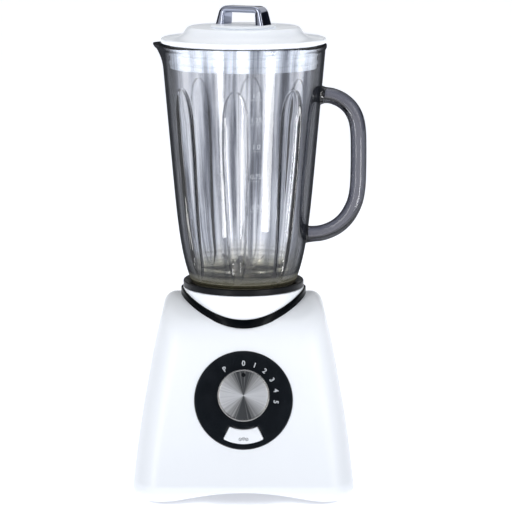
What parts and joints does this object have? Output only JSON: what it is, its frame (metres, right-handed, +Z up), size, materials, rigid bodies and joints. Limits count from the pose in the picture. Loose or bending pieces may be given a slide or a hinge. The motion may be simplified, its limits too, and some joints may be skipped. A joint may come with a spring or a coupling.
{
  "type": "countertop blender",
  "caption": "Countertop blender: fluted glass jar with handle, lid and filler cap, blade unit, and a tapered motor base with a speed dial and an ice button.",
  "frame": {"origin": "on the counter, on the vertical axis shared by the jar, the blades and the motor", "axes": "+Z up, -Y towards the front with the speed dial, +X towards the jar handle"},
  "size_m": [0.1974, 0.1861, 0.41],
  "materials": {
    "white_gloss": "glossy white moulded plastic",
    "black_gloss": "glossy black plastic",
    "black_satin": "satin black plastic",
    "grey_plastic": "matt grey plastic",
    "rubber": "matt black rubber",
    "clear_glass": "clear pressed glass",
    "silicone": "translucent silicone",
    "chrome": "chrome plated plastic",
    "brushed": "radially brushed face",
    "steel": "stainless steel",
    "zinc": "zinc plated steel",
    "lamination": "stacked electrical steel",
    "copper": "enamelled copper",
    "bronze": "sintered bronze",
    "carbon": "pressed carbon",
    "phenolic": "phenolic moulding",
    "laminate": "coated glass fibre laminate"
  },
  "bodies": {
    "motor_base": {"body_shell": "white_gloss", "base_plate": "grey_plastic", "foot": "rubber", "base_screw": "zinc", "collar": "white_gloss", "collar_trim": "black_gloss", "collar_screw": "zinc", "motor_plate": "zinc", "motor_damper": "rubber", "lower_bracket": "zinc", "stator": "lamination", "field_coil": "copper", "motor_screw": "zinc", "upper_bearing": "steel", "lower_bearing": "steel", "brush_holder": "bronze", "brush": "carbon", "circuit_board": "laminate", "cord_gland": "rubber", "control_disc": "black_gloss", "control_screw": "zinc", "rotary_switch": "phenolic", "button_switch": "phenolic"},
    "rotor": {"armature": "lamination", "armature_coil": "copper", "commutator": "copper", "motor_shaft": "steel", "fan": "grey_plastic", "drive_coupling": "rubber"},
    "dial": {"dial_body": "steel", "dial_face": "brushed", "dial_mark": "black_satin", "switch_shaft": "steel"},
    "button": {"ice_button": "white_gloss", "button_spring": "steel"},
    "jar": {"jar_glass": "clear_glass", "jar_handle": "clear_glass", "jar_base": "black_satin", "jar_gasket": "silicone", "blade_holder": "steel", "blade_bush": "bronze"},
    "blades": {"blade_shaft": "steel", "lower_blade": "steel", "upper_blade": "steel", "blade_washer": "steel", "blade_nut": "steel", "driven_coupling": "black_satin"},
    "lid": {"lid": "white_gloss", "lid_seal": "silicone"},
    "cap": {"filler_cap": "white_gloss", "cap_handle": "chrome"}
  },
  "joints": [
    {"name": "motor_spin", "type": "hinge", "parent": "motor_base", "child": "rotor", "pos_m": [0, 0, 0.085], "axis": [0, 0, 1], "continuous": true},
    {"name": "dial_turn", "type": "hinge", "parent": "motor_base", "child": "dial", "pos_m": [0, -0.07049, 0.09017], "axis": [0, 0.9613, -0.2756], "range_deg": [-35, 100]},
    {"name": "ice_press", "type": "slide", "parent": "motor_base", "child": "button", "axis": [0, 0.9613, -0.2756], "range_m": [0, 0.002], "stiffness_N_per_m": 600, "springref_m": -0.002, "deforming": ["button_spring"]},
    {"name": "jar_lift", "type": "slide", "parent": "motor_base", "child": "jar", "axis": [0, 0, 1], "range_m": [0, 0.08]},
    {"name": "blade_spin", "type": "hinge", "parent": "jar", "child": "blades", "pos_m": [0, 0, 0.18], "axis": [0, 0, 1], "continuous": true},
    {"name": "lid_lift", "type": "slide", "parent": "jar", "child": "lid", "axis": [0, 0, 1], "range_m": [0, 0.06]},
    {"name": "cap_lift", "type": "slide", "parent": "lid", "child": "cap", "axis": [0, 0, 1], "range_m": [0, 0.06]}
  ],
  "couplings": [
    {"joint": "blade_spin", "follows": "motor_spin", "ratio": 1}
  ]
}
